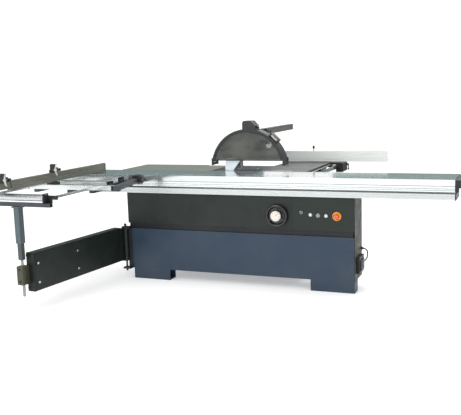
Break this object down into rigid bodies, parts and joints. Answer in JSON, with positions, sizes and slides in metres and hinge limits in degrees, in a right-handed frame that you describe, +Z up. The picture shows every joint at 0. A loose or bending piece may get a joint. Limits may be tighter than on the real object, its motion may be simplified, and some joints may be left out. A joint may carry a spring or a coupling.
{
  "type": "sliding table panel saw",
  "caption": "Format panel saw: cabinet base, long sliding table with swing-arm outrigger and stops, tilting rising saw unit, overhead guard and rip fence.",
  "frame": {"origin": "on the floor, midway between the anchor holes of the two front feet", "axes": "+Z up; +X along the sliding table towards the infeed end with the controls; +Y from the sliding table across to the rip-fence side"},
  "size_m": [3.207, 3.088, 1.28],
  "materials": {
    "blue_paint": "satin",
    "grey_paint": "satin",
    "fascia_paint": "satin",
    "panel_paint": "matt",
    "side_paint": "satin",
    "black_paint": "matt",
    "arm_paint": "satin",
    "bright_aluminium": "anodised",
    "fence_aluminium": "anodised",
    "ground_iron": "ground",
    "steel": "ground",
    "blade_steel": "ground",
    "cast_grey": "as cast, painted",
    "black_plastic": "textured",
    "black_gloss": "moulded",
    "smoked_window": "smoked polycarbonate",
    "grey_plastic": "moulded",
    "white_button": "moulded",
    "red_mushroom": "moulded",
    "rubber": "moulded",
    "motor_paint": "satin"
  },
  "bodies": {
    "base": {"feet": "blue_paint", "lower_cabinet": "blue_paint", "upper_cabinet": "blue_paint", "fascia_panel": "fascia_paint", "control_panel": "panel_paint", "side_cover_right": "side_paint", "rear_cabinet": "blue_paint", "power_inlet": "black_plastic", "inlet_cable": "rubber", "fixed_beam": "bright_aluminium", "support_brackets": "black_paint", "fence_rail": "steel", "main_table": "ground_iron", "extension_tables": "ground_iron", "table_insert": "fence_aluminium", "guard_post": "grey_paint", "dust_duct": "grey_paint"},
    "door": {"access_door": "blue_paint"},
    "slide": {"sliding_table": "bright_aluminium", "table_end_caps": "black_plastic", "outrigger_bars": "bright_aluminium", "outrigger_rails": "grey_paint", "outrigger_fittings": "black_plastic"},
    "cage": {"roller_cage": "steel"},
    "roller": {"loading_roller": "steel"},
    "cross_fence": {"crosscut_fence": "fence_aluminium"},
    "fence_ext": {"fence_extension": "fence_aluminium"},
    "stop_a": {"stop_carriage_a": "black_paint"},
    "finger_a": {"stop_finger_a": "steel"},
    "stop_b": {"stop_carriage_b": "black_paint"},
    "finger_b": {"stop_finger_b": "steel"},
    "arm": {"swing_arm": "arm_paint"},
    "arm_inner": {"inner_arm": "arm_paint", "support_column": "grey_paint"},
    "tilting": {"tilt_frame": "cast_grey"},
    "rising": {"rise_carriage": "cast_grey", "motor": "motor_paint", "riving_knife": "steel", "drive_belt": "rubber"},
    "screw": {"rise_screw": "steel"},
    "arbor": {"arbor_shaft": "steel", "saw_blade": "blade_steel"},
    "pulley": {"motor_pulley": "steel"},
    "scoring": {"scoring_blade": "blade_steel"},
    "rise_wheel": {"rise_handwheel": "black_gloss"},
    "tilt_wheel": {"tilt_handwheel": "black_gloss"},
    "start": {"start_button": "white_button"},
    "stop": {"stop_button": "white_button"},
    "selector": {"selector_knob": "grey_plastic"},
    "estop": {"emergency_stop": "red_mushroom"},
    "rip_base": {"rip_carriage": "black_paint"},
    "rip_blade": {"rip_fence": "bright_aluminium"},
    "rip_clamp": {"fence_clamp_lever": "black_plastic"},
    "rail_lock": {"rail_lock_lever": "black_plastic"},
    "guard_boom": {"boom": "grey_paint"},
    "hood": {"guard_hood": "grey_paint", "guard_windows": "smoked_window", "guard_handle": "grey_plastic"},
    "hood_roller_l": {"guard_roller_left": "black_plastic"},
    "hood_roller_r": {"guard_roller_right": "black_plastic"}
  },
  "joints": [
    {"name": "table_slide", "type": "slide", "parent": "base", "child": "slide", "axis": [1, 0, 0], "range_m": [-1.5, 1.5]},
    {"name": "cage_slide", "type": "slide", "parent": "base", "child": "cage", "axis": [1, 0, 0], "range_m": [-0.75, 0.75]},
    {"name": "arm_swing", "type": "hinge", "parent": "base", "child": "arm", "pos_m": [-0.968, -0.082, 0.29], "axis": [0, 0, 1], "range_deg": [-56, 56]},
    {"name": "arm_extend", "type": "slide", "parent": "arm", "child": "arm_inner", "axis": [-0.108, -0.9942, 0], "range_m": [0, 0.75]},
    {"name": "loading_roller_spin", "type": "hinge", "parent": "slide", "child": "roller", "pos_m": [-1.2, -1.169, 0.836], "axis": [1, 0, 0], "continuous": true},
    {"name": "fence_swivel", "type": "hinge", "parent": "slide", "child": "cross_fence", "pos_m": [-1.29, -0.584, 0.88], "axis": [0, 0, 1], "range_deg": [-45, 45]},
    {"name": "fence_extend", "type": "slide", "parent": "cross_fence", "child": "fence_ext", "axis": [0, -1, 0], "range_m": [0, 0.6]},
    {"name": "stop_a_slide", "type": "slide", "parent": "cross_fence", "child": "stop_a", "axis": [0, 1, 0], "range_m": [-0.4, 0.6]},
    {"name": "stop_a_flip", "type": "hinge", "parent": "stop_a", "child": "finger_a", "pos_m": [-1.248, -0.584, 0.964], "axis": [0, -1, 0], "range_deg": [0, 90]},
    {"name": "stop_b_slide", "type": "slide", "parent": "fence_ext", "child": "stop_b", "axis": [0, -1, 0], "range_m": [-0.03, 0.22]},
    {"name": "stop_b_flip", "type": "hinge", "parent": "stop_b", "child": "finger_b", "pos_m": [-1.248, -1.179, 0.956], "axis": [0, -1, 0], "range_deg": [0, 90]},
    {"name": "blade_tilt", "type": "hinge", "parent": "base", "child": "tilting", "pos_m": [0, 0.333, 0.87], "axis": [-1, 0, 0], "range_deg": [0, 45]},
    {"name": "blade_rise", "type": "slide", "parent": "tilting", "child": "rising", "axis": [0, 0, 1], "range_m": [-0.06, 0.055]},
    {"name": "rise_screw_turn", "type": "hinge", "parent": "tilting", "child": "screw", "pos_m": [-0.1, 0.446, 0.55], "axis": [0, 0, 1], "range_deg": [-2170, 1990]},
    {"name": "rise_handwheel_turn", "type": "hinge", "parent": "base", "child": "rise_wheel", "pos_m": [0.354, -0.054, 0.574], "axis": [0, -1, 0], "range_deg": [-2170, 1990]},
    {"name": "tilt_handwheel_turn", "type": "hinge", "parent": "base", "child": "tilt_wheel", "pos_m": [0.53, 0.462, 0.646], "axis": [-1, 0, 0], "range_deg": [-550, 5]},
    {"name": "arbor_spin", "type": "hinge", "parent": "rising", "child": "arbor", "pos_m": [-0.02, 0.333, 0.74], "axis": [0, 1, 0], "continuous": true},
    {"name": "motor_spin", "type": "hinge", "parent": "rising", "child": "pulley", "pos_m": [-0.02, 0.518, 0.49], "axis": [0, 1, 0], "continuous": true},
    {"name": "scoring_spin", "type": "hinge", "parent": "tilting", "child": "scoring", "pos_m": [0.245, 0.333, 0.786], "axis": [0, 1, 0], "continuous": true},
    {"name": "start_press", "type": "slide", "parent": "base", "child": "start", "axis": [0, 1, 0], "range_m": [0, 0.003], "stiffness_N_per_m": 600},
    {"name": "stop_press", "type": "slide", "parent": "base", "child": "stop", "axis": [0, 1, 0], "range_m": [0, 0.003], "stiffness_N_per_m": 600},
    {"name": "selector_turn", "type": "hinge", "parent": "base", "child": "selector", "pos_m": [0.674, -0.054, 0.583], "axis": [0, 1, 0], "range_deg": [-45, 45]},
    {"name": "emergency_press", "type": "slide", "parent": "base", "child": "estop", "axis": [0, 1, 0], "range_m": [0, 0.004], "stiffness_N_per_m": 900},
    {"name": "rip_slide", "type": "slide", "parent": "base", "child": "rip_base", "axis": [0, 1, 0], "range_m": [-0.65, 0.1]},
    {"name": "rip_fence_adjust", "type": "slide", "parent": "rip_base", "child": "rip_blade", "axis": [1, 0, 0], "range_m": [0, 0.3]},
    {"name": "fence_clamp_turn", "type": "hinge", "parent": "rip_base", "child": "rip_clamp", "pos_m": [0.309, 1.16, 0.96], "axis": [0, 0, 1], "range_deg": [0, 90]},
    {"name": "rail_lock_turn", "type": "hinge", "parent": "rip_base", "child": "rail_lock", "pos_m": [0.617, 1.194, 0.842], "axis": [1, 0, 0], "range_deg": [0, 60]},
    {"name": "boom_slide", "type": "slide", "parent": "base", "child": "guard_boom", "axis": [0, 1, 0], "range_m": [-0.05, 0.025]},
    {"name": "hood_lift", "type": "slide", "parent": "guard_boom", "child": "hood", "axis": [0, 0, 1], "range_m": [0, 0.1]},
    {"name": "hood_roller_left_spin", "type": "hinge", "parent": "hood", "child": "hood_roller_l", "pos_m": [-0.32, 0.333, 0.93], "axis": [0, 1, 0], "continuous": true},
    {"name": "hood_roller_right_spin", "type": "hinge", "parent": "hood", "child": "hood_roller_r", "pos_m": [0.3, 0.333, 0.93], "axis": [0, 1, 0], "continuous": true},
    {"name": "door_swing", "type": "hinge", "parent": "base", "child": "door", "pos_m": [0.482, 0.758, 0.35], "axis": [0, 0, 1], "range_deg": [0, 110]}
  ],
  "couplings": [
    {"joint": "cage_slide", "follows": "table_slide", "ratio": 0.5},
    {"joint": "arm_swing", "follows": "table_slide", "rad_per_m": 0.63},
    {"joint": "rise_screw_turn", "follows": "blade_rise", "rad_per_m": 628.3},
    {"joint": "rise_handwheel_turn", "follows": "blade_rise", "rad_per_m": 628.3},
    {"joint": "tilt_handwheel_turn", "follows": "blade_tilt", "ratio": -12.1},
    {"joint": "motor_spin", "follows": "arbor_spin", "ratio": 0.682}
  ]
}
